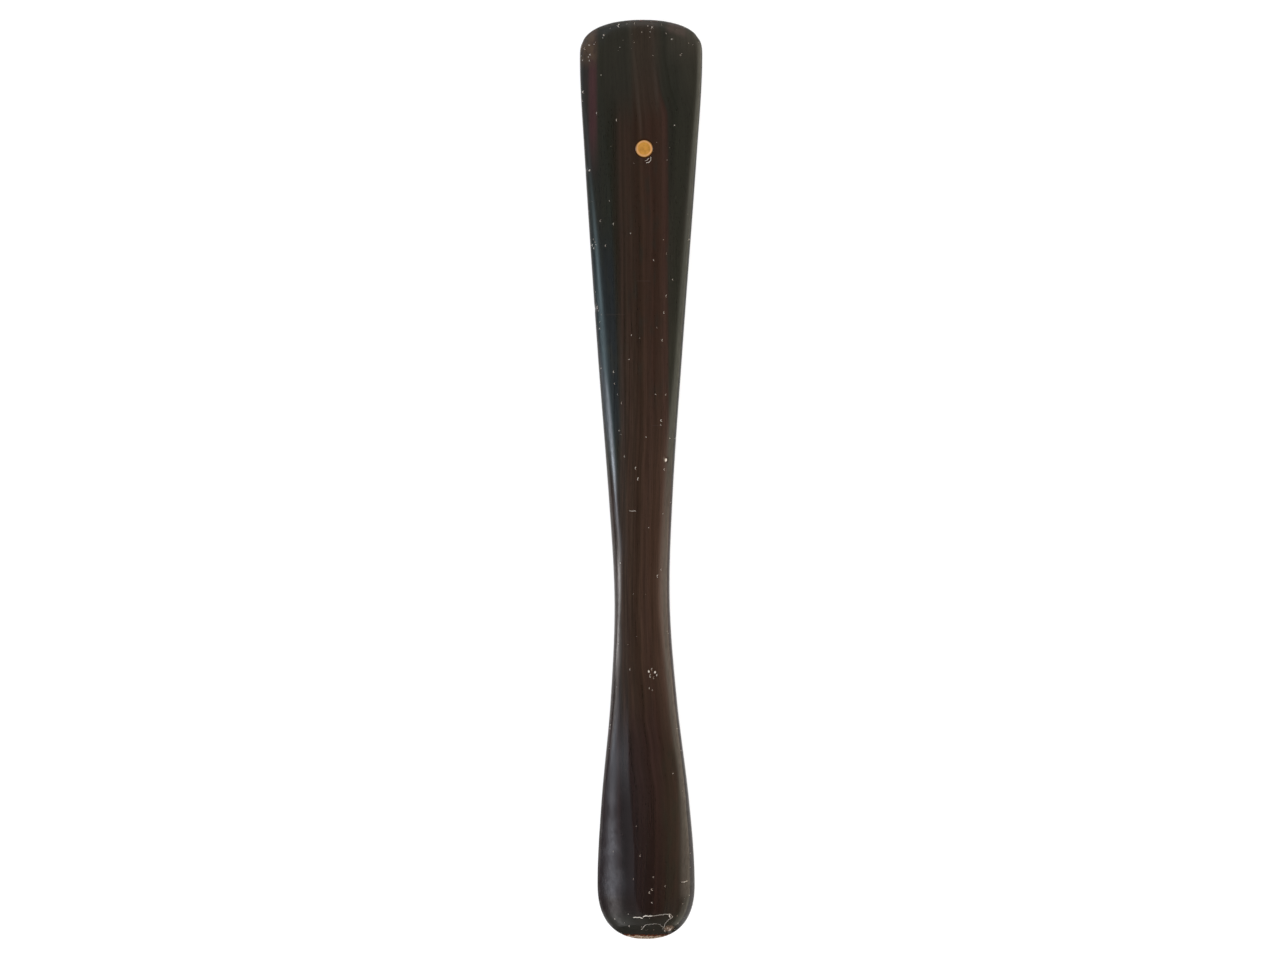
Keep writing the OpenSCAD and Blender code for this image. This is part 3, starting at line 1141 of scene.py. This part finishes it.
@dataclass(frozen=True)
class LacqueredRosewood:
    """Dark rosewood with black and red-brown figure, under an old clear lacquer.

    The figure is what the growth rings show across the plank, at millimetres from the dark line that
    runs down its middle.
    """

    figure: Stops = painted(
        (-25.0, 49, 44, 40), (-21.8, 49, 42, 39), (-20.2, 61, 46, 44), (-18.4, 53, 43, 38),
        (-17.4, 43, 40, 32), (-13.0, 39, 39, 32), (-10.4, 41, 35, 28), (-9.3, 50, 41, 34),
        (-8.2, 58, 44, 37), (-7.4, 49, 38, 31), (-6.2, 57, 44, 36), (-5.5, 54, 40, 33),
        (-4.4, 57, 43, 35), (-3.4, 51, 39, 31), (-2.2, 52, 38, 30), (-1.0, 48, 34, 26),
        (-0.2, 52, 38, 29), (0.8, 62, 45, 36), (1.9, 55, 39, 31), (3.2, 58, 42, 34), (4.2, 59, 41, 33),
        (5.1, 52, 36, 28), (6.4, 57, 40, 32), (7.6, 59, 42, 34), (8.8, 65, 46, 39), (10.2, 57, 41, 35),
        (11.0, 44, 42, 36), (14.0, 42, 42, 35), (18.0, 43, 43, 37), (25.0, 47, 46, 40),
    )
    black: Colour = from_srgb(16, 12, 10)
    purple: Colour = from_srgb(49, 39, 40)
    bare: Colour = from_srgb(204, 184, 164)
    bare_dark: Colour = from_srgb(104, 80, 60)
    border: Colour = from_srgb(84, 38, 18)
    stain: Colour = from_srgb(52, 30, 14)
    green: Colour = from_srgb(45, 43, 37)
    olive: Colour = from_srgb(50, 44, 35)
    weak: Colour = from_srgb(53, 46, 39)
    red: Colour = from_srgb(72, 46, 47)
    silver: Colour = from_srgb(72, 65, 58)
    soot: Colour = from_srgb(44, 44, 38)
    rubbed: Colour = from_srgb(84, 68, 54)
    scuffed: Colour = from_srgb(70, 58, 54)
    flaked: Colour = from_srgb(128, 106, 90)
    scratches: tuple[tuple[float, float, float], ...] = (
        (81.7, -2.6, 3.4), (68.0, -15.5, -7.0), (22.4, 3.6, 7.2),
    )
    coat_roughness: float = 0.08
    pin_x: float = 1.0
    pin_y: float = 137.0
    pin_r: float = 3.5

    def make(self) -> bpy.types.Material:
        """Makes the finish.

        Returns:
            The material, on Object coordinates.
        """
        material, g, shader = new_material("lacquered_rosewood")
        place = g.object_mm()
        x, y, z = g.split(place)
        colour = self._figured(g, x, y, z)

        # Pores are short dark dashes along the grain
        dashes = g.noise(g.vector(x * 5.0, y * 0.45, z * 3.0), detail=1.0)
        pores = dashes.fade(0.60, 0.74)
        colour = g.mix(pores * 0.3, colour, self.black)

        for at, start, end in self.scratches:
            length = x.fade(start, start + 0.6) * x.fade(end, end - 0.6)
            line = abs(y - at + (dashes - 0.5) * 0.6).fade(0.34, 0.1) * length
            colour = g.mix(line * 0.22, colour, self.scuffed)

        # The wood is darker in a ring round the pin
        from_pin = distance(x, y, self.pin_x, self.pin_y) - self.pin_r
        colour = g.mix(from_pin.fade(0.75, 0.25), colour, self.stain)

        # Hands have rubbed the end's two corners
        worn = g.noise(g.vector(x * 0.5, y * 0.3, z), detail=3.0).fade(0.3, 0.6)
        left_corner = x.fade(-17.0, -20.0) * y.fade(168.0, 177.0)
        colour = g.mix(left_corner * (0.3 + worn * 0.5), colour, self.rubbed)
        right_corner = x.fade(8.5, 12.0) * x.fade(20.5, 17.0) * (y + x * 0.35).fade(187.0, 189.5)
        colour = g.mix(right_corner * (0.2 + worn * 0.6), colour, self.scuffed)

        # Under the cracks the wood is sooty
        colour = g.mix(y.fade(-176.0, -182.0) * 0.7, colour, self.soot)

        # A flaked patch beside the tip's cracks
        off_x, off_y = x - 9.4, y + 184.8
        flaked = (off_x * off_x * 0.16 + off_y * off_y * 0.32).fade(1.0, 0.3)
        crumbs = g.noise(place, scale=1.5, detail=3.0).fade(0.42, 0.6)
        colour = g.mix(flaked * (0.25 + crumbs * 0.65), colour, self.flaked)

        bare, chewed = self._bare(g, place, y)
        grime = g.noise(g.vector(x * 1.6, y * 2.2, z * 2.2), detail=3.0).fade(0.4, 0.56)
        colour = g.mix(bare.fade(0.0, 0.25), colour, self.border)
        colour = g.mix(bare.fade(0.62, 0.95), colour, g.mix(grime, self.bare, self.bare_dark))

        # The coat is uneven: long soft waves, and brush marks on the flanks
        flanks = g.split(g.node("ShaderNodeTexCoord").out("Normal"))[2].fade(0.97, 0.86)
        ripple = g.noise(g.vector_math("MULTIPLY", place, (0.45, 0.10, 0.45)), detail=2.0)
        wave = g.noise(g.vector_math("MULTIPLY", place, (0.14, 0.09, 0.14)), detail=1.0)
        marks = g.noise(g.vector_math("MULTIPLY", place, (1.5, 0.42, 1.5)), detail=2.0)
        height = pores * -0.004 + ripple * 0.016 + wave * 0.07 + marks * flanks * 0.022 + chewed * bare * 0.1
        haze = g.noise(g.vector(x * 0.22, y * 0.16, z * 0.2), detail=3.0, roughness=0.6).fade(0.35, 0.7)
        haze = haze * y.fade(-120.0, -140.0) * x.fade(-6.0, -10.0) * 0.45
        haze = haze + marks.fade(0.4, 0.65) * flanks * 0.26
        step = (y + (haze - 0.15) * 8.0).fade(-145.5, -142.5) * y.fade(-105.0, -125.0)
        step = step * x.fade(-8.0, -11.0) * 0.22
        feed(g, shader, {
            "Base Color": colour,
            "Roughness": 0.6 + bare * 0.2,
            "Specular IOR Level": 0.0,
            "Coat Weight": (1.0 - bare) * (1.0 - haze) * (1.0 - step),
            "Coat Roughness": self.coat_roughness,
            "Normal": g.bump(height),
        })
        return material

    def _figured(self, g: Graph, x: Sock, y: Sock, z: Sock) -> Sock:
        """The wood's own colour before any wear.

        Args:
            g: The material's graph.
            x, y, z: The place, in millimetres.

        Returns:
            The colour.
        """
        # How far the rings wander to the right along the length, least on the left flank
        wander = along_length(
            g, y,
            (-190, 0.62), (-165, 0.74), (-147, 0.80), (-131, 0.80), (-112, 0.60), (-95, 0.40), (-71, 0.23),
            (-48, 0.17), (-22, 0.22), (0, 0.30), (21, 0.39), (45, 0.40), (72, 0.40), (98, 0.38), (125, 0.30),
            (148, 0.25), (158, 0.17), (176, 0.0), (190, 0.0),
        ) * 10.0 - 4.0
        slow = g.noise(g.vector(x * 0.05, y * 0.018, z * 0.05), detail=2.0)
        quick = g.noise(g.vector(x * 0.3, y * 0.05, z * 0.3), detail=1.0)
        spread = along_length(
            g, y, (90, 0.4), (98, 0.44), (125, 0.52), (150, 0.57), (163, 0.33), (176, 0.29),
        ) * 10.0 - 4.0
        ring = x - wander * x.fade(-14.0, -2.0) - spread * x.fade(1.0, 8.0)
        ring = ring + (slow - 0.5) * 0.8 + (quick - 0.5) * 0.3
        colour = across(g, ring, 25.0, self.figure)

        # The far left streak runs only down from the end, and the flanks go brown below the grip
        flank = x.fade(-16.0, -17.6) * y.fade(138.0, 120.0)
        colour = g.mix(flank, colour, from_srgb(40, 38, 33))
        # Painted reflection: the left flank of the grip and handle goes cool grey, standing in for the blue
        # light it mirrors
        inner = (x + y * 0.035 + 8.8).fade(0.9, -0.9) * y.fade(10.0, 26.0) * y.fade(112.0, 84.0)
        colour = g.mix(inner, colour, from_srgb(37, 38, 39))
        below = y.fade(14.0, -12.0)
        brown = g.noise(g.vector(ring * 0.5, y * 0.01, 4.0), detail=2.0)
        warm = g.mix(brown.fade(0.35, 0.65), from_srgb(44, 34, 30), from_srgb(54, 42, 37))
        colour = g.mix(below * (x.fade(-9.0, -11.0) + ring.fade(9.5, 11.5)).held(), colour, warm)
        # The blade goes cooler, and purple on its left: partly the rosewood's own purple, partly a painted
        # lilac reflection of the glow beside the highlight
        cooler = g.vector_math("MULTIPLY", colour, (1.0, 0.94, 1.1))
        colour = g.mix(y.fade(-84.0, -110.0) * x.fade(9.0, 3.0), colour, cooler)
        colour = g.mix(y.fade(-90.0, -135.0) * x.fade(4.0, -7.0) * 0.5, colour, self.purple)

        # Towards the end the left of the band fades to green, and all of it pales
        colour = g.mix(y.fade(140.0, 164.0) * x.fade(-2.6, -4.6) * x.fade(-16.4, -15.4), colour, self.green)
        colour = g.mix(y.fade(150.0, 176.0) * x.fade(-16.0, -14.0) * 0.55, colour, self.green)
        colour = g.mix(y.fade(144.0, 158.0) * x.fade(-6.0, -3.0) * x.fade(9.0, 7.0) * 0.5, colour, self.weak)
        red = y.fade(132.0, 146.0) * y.fade(176.0, 168.0) * x.fade(-22.4, -20.6) * x.fade(-17.6, -19.4)
        colour = g.mix(red * 0.8, colour, self.red)
        streaks = abs(x + 0.8 + (y - 150.0) * 0.1).fade(1.3, 0.0) * y.fade(136.0, 150.0)
        streaks = streaks + abs(x - 6.7 + (y - 150.0) * 0.055).fade(1.3, 0.0) * y.fade(146.0, 160.0)
        streaks = streaks + x.fade(9.0, 13.0) * y.fade(166.0, 182.0)
        colour = g.mix(streaks.held() * 0.25, colour, self.silver)
        blots = g.noise(g.vector(x * 0.30, y * 0.07, z * 0.1 + 2.0), detail=2.0, roughness=0.6)
        on_handle = y.fade(150.0, 120.0) * y.fade(10.0, 50.0)
        colour = g.mix(blots.fade(0.52, 0.72) * on_handle * 0.45, colour, self.green)
        on_right = x.fade(5.0, 9.0) * y.fade(-85.0, -120.0)
        colour = g.mix(on_right * (0.35 + blots.fade(0.4, 0.65) * 0.5), colour, self.olive)

        # Finer rings between the broad ones, sharpest left of the dark line
        fine = g.noise(g.vector(ring * 1.15, y * 0.026, z * 0.1 + 9.0), detail=2.0, roughness=0.55)
        finest = g.noise(g.vector(ring * 3.2, y * 0.07, z * 0.3 + 5.0), detail=2.0)
        sharp = x.fade(-0.5, -2.5) * y.fade(-112.0, -85.0) * y.fade(125.0, 40.0)
        strength = 0.26 + y.fade(120.0, 30.0) * y.fade(-115.0, -85.0) * 0.26 + sharp * 0.25
        light = (1.0 + ((fine - 0.5) * 1.5 + (finest - 0.5) * 1.3) * strength).most(0.7)

        # The wood is lightest at the waist and darkest on the blade, more so to the left
        tone = along_length(
            g, y,
            (-190, 0.52), (-165, 0.56), (-147, 0.62), (-131, 0.70), (-112, 0.80), (-95, 0.90), (-71, 1.02),
            (-48, 1.07), (21, 1.05), (45, 0.95), (72, 0.87), (98, 0.84), (125, 0.86), (150, 0.87),
            (168, 0.94), (180, 1.0), (188, 1.0),
        ) * 0.98
        patch = y.fade(-100.0, -150.0) * x.fade(1.0, 12.0) * 0.22
        patch = patch - y.fade(-96.0, -108.0) * x.fade(-11.0, -9.0) * x.fade(-3.5, -6.0) * 0.2
        patch = patch - y.fade(86.0, 100.0) * y.fade(166.0, 156.0) * x.fade(9.5, 12.0) * 0.08
        patch = patch - y.fade(4.0, 18.0) * y.fade(62.0, 50.0) * x.fade(2.0, 5.0) * x.fade(11.0, 9.0) * 0.09
        return g.vector_math("SCALE", colour, scale=light * tone * (1.0 + patch))

    def _bare(self, g: Graph, place: Sock, y: Sock) -> tuple[Sock, Sock]:
        """Where the lacquer has gone.

        Args:
            g: The material's graph.
            place: The place, in millimetres.
            y: The place along the length.

        Returns:
            How bare the wood is, and how chewed up.
        """
        x, _, _ = g.split(place)
        chewed = g.noise(place, scale=0.9, detail=4.0, roughness=0.62)
        tip = y.fade(-186.1, -189.7) * x.fade(-13.0, -8.5) * x.fade(13.0, 9.5) * 1.3
        end = y.fade(186.5, 190.5) * 0.55
        return (tip + end + (chewed - 0.5) * 1.2 - 0.35).fade(0.0, 0.7), chewed


@dataclass(frozen=True)
class AgedBrass:
    """Brass ground flush with the wood and gone a little dull under the lacquer."""

    metal: Colour = from_srgb(226, 162, 68)
    rim: Colour = from_srgb(236, 178, 122)
    tarnish: Colour = from_srgb(176, 112, 44)
    pin_x: float = 1.0
    pin_y: float = 137.0
    pin_r: float = 3.5

    def make(self) -> bpy.types.Material:
        """Makes the finish.

        Returns:
            The material, on Object coordinates.
        """
        material, g, shader = new_material("aged_brass")
        place = g.object_mm()
        cloud = g.noise(place, scale=0.6, detail=3.0)
        lines = g.noise(g.vector_math("MULTIPLY", place, (9.0, 0.5, 1.0)), detail=2.0)
        dull = (cloud.fade(0.4, 0.75) * 0.6 + lines * 0.25).held()
        x, y, _ = g.split(place)
        out = distance(x, y, self.pin_x, self.pin_y) / self.pin_r
        rubbed = out.fade(0.70, 0.80) * out.fade(0.97, 0.90)
        colour = g.mix(rubbed * 0.8, g.mix(dull, self.metal, self.tarnish), self.rim)
        colour = g.mix(out.fade(0.92, 1.0) * 0.7, colour, self.tarnish)
        feed(g, shader, {
            "Base Color": colour,
            "Metallic": 0.45,
            "Roughness": 0.38 + dull * 0.2,
            "Normal": g.bump(lines * 0.01),
        })
        return material


@dataclass(frozen=True)
class ChippedEdge:
    """The pale ground that shows where the lacquer has chipped or cracked.

    Dirt is a noise about 0.5. The ground is clean where it is under clean_to and dirty over dirty_from.
    """

    name: str
    clean_to: float
    dirty_from: float
    pale: Colour = from_srgb(226, 217, 208)
    dirty: Colour = from_srgb(118, 98, 84)

    def make(self) -> bpy.types.Material:
        """Makes the finish.

        Returns:
            The material, on Object coordinates.
        """
        material, g, shader = new_material(self.name)
        place = g.object_mm()
        dirt = g.noise(place, scale=1.2, detail=3.0)
        colour = g.mix(dirt.fade(self.clean_to, self.dirty_from), self.pale, self.dirty)
        feed(g, shader, {"Base Color": colour, "Roughness": 0.75})
        return material


# ---------------------------------------------------------------------------------------------
# The studio
# ---------------------------------------------------------------------------------------------


class Tint(Enum):
    """The light's colours."""

    TEAL = (0.64, 0.90, 1.0)
    COOL = (0.80, 0.89, 1.0)
    LILAC = (0.86, 0.90, 1.0)
    PLAIN = (1.0, 0.98, 0.98)
    CREAM = (1.0, 0.95, 0.79)
    WARM = (1.0, 0.86, 0.70)
    HONEY = (1.0, 0.83, 0.64)


@dataclass(frozen=True)
class Strip:
    """A light wall at one place along it, with one bright height and softer light above and under it.

    The place is in millimetres, and angles are degrees down from straight above. The light falls half
    way to the haze over the angle named above, and half way to low over the angle named below.
    """

    upper: Tint
    lower: Tint
    along: float
    angle: float
    above: float
    below: float
    level: float
    low: float
    haze: float = 0.15

    def level_at(self, angle: float) -> float:
        """How bright the strip is at an angle.

        Args:
            angle: Degrees down from straight above.

        Returns:
            The brightness, where 1 is white.
        """
        off = angle - self.angle
        far, width = (self.haze, self.above) if off < 0 else (self.low, self.below)
        return far + (self.level - far) * 0.5 ** ((off / width) ** 2)


def strips(upper: Tint, lower: Tint, *rows: tuple[float, ...]) -> tuple[Strip, ...]:
    """Strips of the same two tints, with each one's sizes in the order of Strip's fields."""
    return tuple(Strip(upper, lower, *row) for row in rows)


LEFT_STRIPS = (
    *strips(Tint.COOL, Tint.COOL, (900, 50, 40, 40, 0.6, 0.6)),
    *strips(
        Tint.TEAL, Tint.TEAL,
        (330, 72, 9, 12, 0.7, 0.1),
        (270, 49, 8, 14, 0.75, 0.35),
        (215, 41, 6, 8, 2.2, 0.65),
        (165, 44, 6, 7, 3.5, 0.6),
        (125, 49, 10, 15, 2.5, 0.7),
        (88, 52, 11, 14, 2.8, 0.6),
    ),
    *strips(
        Tint.TEAL, Tint.COOL,
        (48, 49, 7, 5, 6.5, 2.0),
        (20, 53, 10, 10, 7.8, 1.5),
        (5, 50, 5.5, 7, 14.7, 2.0),
        (-15, 53, 4.5, 4.5, 9.5, 1.0),
    ),
    *strips(Tint.COOL, Tint.LILAC, (-35, 51, 6, 6, 4.4, 0.05), (-55, 54, 14, 13, 3.9, 0.05)),
    *strips(
        Tint.COOL, Tint.PLAIN,
        (-75, 48, 8, 7, 3.9, 0.45),
        (-92, 54, 6.5, 7, 6.8, 0.05),
        (-104, 63, 8, 9, 14.7, 0.05),
        (-112, 71, 10, 7, 11.7, 0.05),
        (-120, 88, 9, 10, 7.5, 0.05),
        (-132, 79, 10.5, 12, 9.5, 0.05),
        (-148, 69, 13, 8, 4.3, 0.05),
        (-168, 60, 14, 9, 2.4, 0.05),
        (-190, 65, 13, 10, 2.6, 0.05),
    ),
    *strips(Tint.COOL, Tint.COOL, (-235, 55, 13, 11, 3.3, 0.3), (-300, 47, 20, 24, 2.3, 0.4)),
    *strips(Tint.LILAC, Tint.LILAC, (-390, 46, 11, 16, 3.1, 0.5)),
    *strips(Tint.PLAIN, Tint.PLAIN, (-560, 50, 13, 10, 2.2, 0.4)),
)
RIGHT_STRIPS = (
    *strips(Tint.CREAM, Tint.CREAM, (900, 50, 40, 40, 0.6, 0.6)),
    *strips(
        Tint.WARM, Tint.CREAM,
        (330, 51, 8, 26, 1.6, 3.5),
        (240, 52, 11, 30, 1.85, 3.0),
        (165, 52, 9, 30, 1.4, 2.6),
    ),
    *strips(Tint.CREAM, Tint.CREAM, (88, 57, 9, 30, 1.6, 2.5), (20, 54, 11, 30, 1.65, 2.5)),
    *strips(
        Tint.HONEY, Tint.WARM,
        (-52, 50, 8, 40, 1.5, 2.0),
        (-117, 57, 13, 30, 2.55, 3.5),
        (-190, 50, 13, 26, 1.75, 3.5),
        (-275, 61, 11, 24, 2.2, 3.5),
        (-390, 62, 14, 26, 1.6, 2.4),
    ),
    *strips(Tint.PLAIN, Tint.CREAM, (-560, 67, 8, 16, 1.0, 2.4)),
)


@dataclass
class LightWall:
    """A curved wall of soft light along one side of the object, which only the camera doesn't see.

    Lengths are metres, and angles are degrees down from straight above. The light is worked out at
    the shade angles and runs evenly between them. From lower_from down it has the strips' lower tint.
    """

    name: str
    side: int
    strips: tuple[Strip, ...]
    distance: float = 0.9
    reach: float = 1.6
    start: float = 10.0
    stop: float = 92.0
    steps: int = 24
    brightest: float = 20.0
    shade_angles: tuple[int, ...] = tuple(range(24, 91, 3))
    lower_from: float = 42.0

    def build(self) -> None:
        """Bends the wall round the object's length and lights it."""
        points = []
        for k in range(self.steps + 1):
            turn = math.radians(self.start + (self.stop - self.start) * k / self.steps)
            out, up = self.side * self.distance * math.sin(turn), self.distance * math.cos(turn)
            points += [(out, -self.reach, up), (out, self.reach, up)]
        faces = [(2 * k, 2 * k + 1, 2 * k + 3, 2 * k + 2) for k in range(self.steps)]
        mesh = bpy.data.meshes.new(self.name)
        mesh.from_pydata(points, [], faces)
        mesh.materials.append(self._light())
        wall = place_mesh(mesh, self.name)
        wall.visible_camera = False

    def _light(self) -> bpy.types.Material:
        """The wall's light.

        Returns:
            A glow that changes along the wall and up it.
        """
        material, g, shader = new_material(self.name)
        out, along, up = g.split(g.node("ShaderNodeTexCoord").out("Object"))
        angle = out.math("ARCTAN2", out * self.side, up) * (180 / math.pi) - 90.0
        along = along / MM

        def strip(of: Strip) -> Sock:
            """The light up the wall at one strip.

            Args:
                of: The strip.

            Returns:
                Its colour at the shader's angle.
            """
            stops = []
            for at in self.shade_angles:
                tint = of.upper if at < self.lower_from else of.lower
                stops.append((at - 90.0, tuple(c * of.level_at(at) / self.brightest for c in tint.value)))
            return across(g, angle, 90.0, tuple(stops))

        light = strip(self.strips[0])
        for one, other in zip(self.strips, self.strips[1:]):
            light = g.mix(along.fade(one.along, other.along), light, strip(other))
        glow = g.node("ShaderNodeEmission", None, {"Color": light, "Strength": self.brightest}).out()
        g.tree.nodes.remove(shader)
        g.show(glow)
        return material


@dataclass
class Studio:
    """A pale floor, a soft tent with a dim top, a light wall on each side, and a camera straight above.

    Lengths are metres, the lens is millimetres and the camera's roll is degrees. Brightness is 1 where
    white shows as white. The tent beyond the walls is given by (angle, brightness) pairs, with angles
    in degrees down from straight above.
    """

    floor_size: float = 3.0
    floor_grey: float = 0.97
    floor_glow: float = 1.12
    floor_drop: float = 0.0002
    shadow_share: float = 0.25
    tent: tuple[tuple[float, float], ...] = (
        (0, 0.03), (24, 0.06), (38, 0.25), (50, 0.8), (90, 1.0), (180, 0.9),
    )
    beyond_end: float = 0.75
    before_tip: float = 0.05
    fill: float = 4.5
    fill_height: float = 1.2
    fill_width: float = 1.2
    camera_height: float = 0.7378
    camera_x: float = -0.0015
    camera_y: float = 0.0001
    camera_roll: float = -0.34
    lens: float = 50.0

    def build(self) -> None:
        """Sets up the whole studio."""
        self._camera()
        self._tent()
        LightWall("left_wall", -1, LEFT_STRIPS).build()
        LightWall("right_wall", 1, RIGHT_STRIPS).build()
        self._fill()
        self._floor()
        bpy.context.scene.view_settings.view_transform = "Standard"

    def _camera(self) -> None:
        """The camera, looking straight down."""
        camera = bpy.data.cameras.new("camera")
        camera.lens = self.lens
        camera.clip_start = 0.01
        holder = bpy.data.objects.new("camera", camera)
        holder.location = (self.camera_x, self.camera_y, self.camera_height)
        holder.rotation_euler = (0.0, 0.0, math.radians(self.camera_roll))
        bpy.context.scene.collection.objects.link(holder)
        bpy.context.scene.camera = holder

    def _tent(self) -> None:
        """The tent: dim straight above, pale at the sides and beyond the end, and dark before the tip."""
        world = bpy.data.worlds.new("tent")
        world.use_nodes = True
        bpy.context.scene.world = world
        world.node_tree.nodes.clear()
        g = Graph(world.node_tree)
        east, north, up = g.split(g.node("ShaderNodeTexCoord").out("Generated"))
        ahead = north / (east * east + north * north).root().most(0.001)
        down = up.math("ARCCOSINE", up) * (180 / math.pi) - 90.0
        stops = tuple((at - 90.0, tuple(c * bright for c in Tint.PLAIN.value)) for at, bright in self.tent)
        tone = across(g, down, 90.0, stops)
        level = (up - ahead * 0.06).fade(0.90, 0.52) * up.fade(-0.7, -0.3)
        end_light = g.vector(*[level * self.beyond_end + 0.03] * 3)
        tip_light = g.vector(*[level * self.before_tip + 0.03] * 3)
        upper = up.fade(-0.9, -0.5)
        tone = g.mix(ahead.fade(0.55, 0.85) * upper, tone, end_light)
        tone = g.mix(ahead.fade(-0.72, -0.92) * upper, tone, tip_light)
        background = g.node("ShaderNodeBackground", None, {"Color": tone, "Strength": 1.0}).out()
        g.node("ShaderNodeOutputWorld", None, {"Surface": background})

    def _fill(self) -> None:
        """An even lamp straight above, which the gloss doesn't show."""
        lamp = bpy.data.lights.new("fill", "AREA")
        lamp.size = self.fill_width
        lamp.energy = self.fill * math.pi * self.fill_width ** 2
        holder = bpy.data.objects.new("fill", lamp)
        holder.location.z = self.fill_height
        holder.visible_glossy = False
        bpy.context.scene.collection.objects.link(holder)

    def _floor(self) -> None:
        """The floor. It keeps the object's shadow, and from below it can be seen through."""
        half = self.floor_size / 2
        mesh = bpy.data.meshes.new("floor")
        corners = [(-half, -half, 0), (half, -half, 0), (half, half, 0), (-half, half, 0)]
        mesh.from_pydata(corners, [], [(0, 1, 2, 3)])
        material, g, shader = new_material("pale_floor")
        grey = (*[self.floor_grey] * 3, 1.0)
        feed(g, shader, {"Base Color": grey, "Roughness": 1.0, "Specular IOR Level": 0.0})
        glow = {"Color": (1.0, 1.0, 1.0, 1.0), "Strength": self.floor_glow}
        glow = g.node("ShaderNodeEmission", None, glow).out()
        shares = {0: 1.0 - self.shadow_share, 1: Sock(g, shader.outputs[0]), 2: glow}
        lit = g.node("ShaderNodeMixShader", None, shares).out()
        under = g.node("ShaderNodeNewGeometry").out("Backfacing")
        clear = g.node("ShaderNodeBsdfTransparent").out()
        g.show(g.node("ShaderNodeMixShader", None, {0: under, 1: lit, 2: clear}).out())
        mesh.materials.append(material)
        floor = place_mesh(mesh, "floor")
        floor.location.z = -self.floor_drop
        floor.visible_diffuse = False
        floor.visible_glossy = False
        floor.visible_shadow = False


# ---------------------------------------------------------------------------------------------
# Putting it together
# ---------------------------------------------------------------------------------------------


def adopt(piece: bpy.types.Object, stands_for: tuple[str, ...] = ()) -> None:
    """Makes a finished piece part of the object.

    Args:
        piece: The piece.
        stands_for: The CAD nodes that it is shown in place of.
    """
    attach(piece, ROOT_BODY)
    if stands_for:
        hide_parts(*stands_for)
    mesh = piece.data
    mesh.calc_loop_triangles()
    log.info("%s: %d triangles", piece.name, len(mesh.loop_triangles))


def main() -> None:
    """Builds the shoehorn round its frame."""
    logging.basicConfig(level=logging.INFO, format="%(name)s: %(message)s")
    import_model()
    Studio().build()

    low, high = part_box("wooden_body")
    pin_low, pin_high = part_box("brass_pin")
    pin_x, pin_y = (pin_low[0] + pin_high[0]) / 2 / MM, (pin_low[1] + pin_high[1]) / 2 / MM
    pin_r = (pin_high[0] - pin_low[0]) / 2 / MM

    body = WoodenBody(
        overall_l=(high[1] - low[1]) / MM,
        handle_w=(high[0] - low[0]) / MM,
        pin_x=pin_x,
        pin_y=pin_y,
        hole_d=2 * (pin_r + 0.1),
    )
    wood = body.build(LacqueredRosewood(pin_x=pin_x, pin_y=pin_y, pin_r=pin_r).make())
    adopt(wood, ("wooden_body",))

    brass = AgedBrass(pin_x=pin_x, pin_y=pin_y, pin_r=pin_r)
    pin = BrassPin(pin_x, pin_y, pin_r, pin_high[2] / MM).build(brass.make())
    adopt(pin, ("brass_pin",))

    wear = LacquerWear()
    chipped = ChippedEdge("chipped_lacquer", clean_to=0.32, dirty_from=0.68).make()
    cracked = ChippedEdge("cracked_lacquer", clean_to=0.5, dirty_from=0.8).make()
    adopt(wear.build_chips(wood, chipped))
    adopt(wear.build_cracks(wood, cracked))


if __name__ == "__main__":
    main()
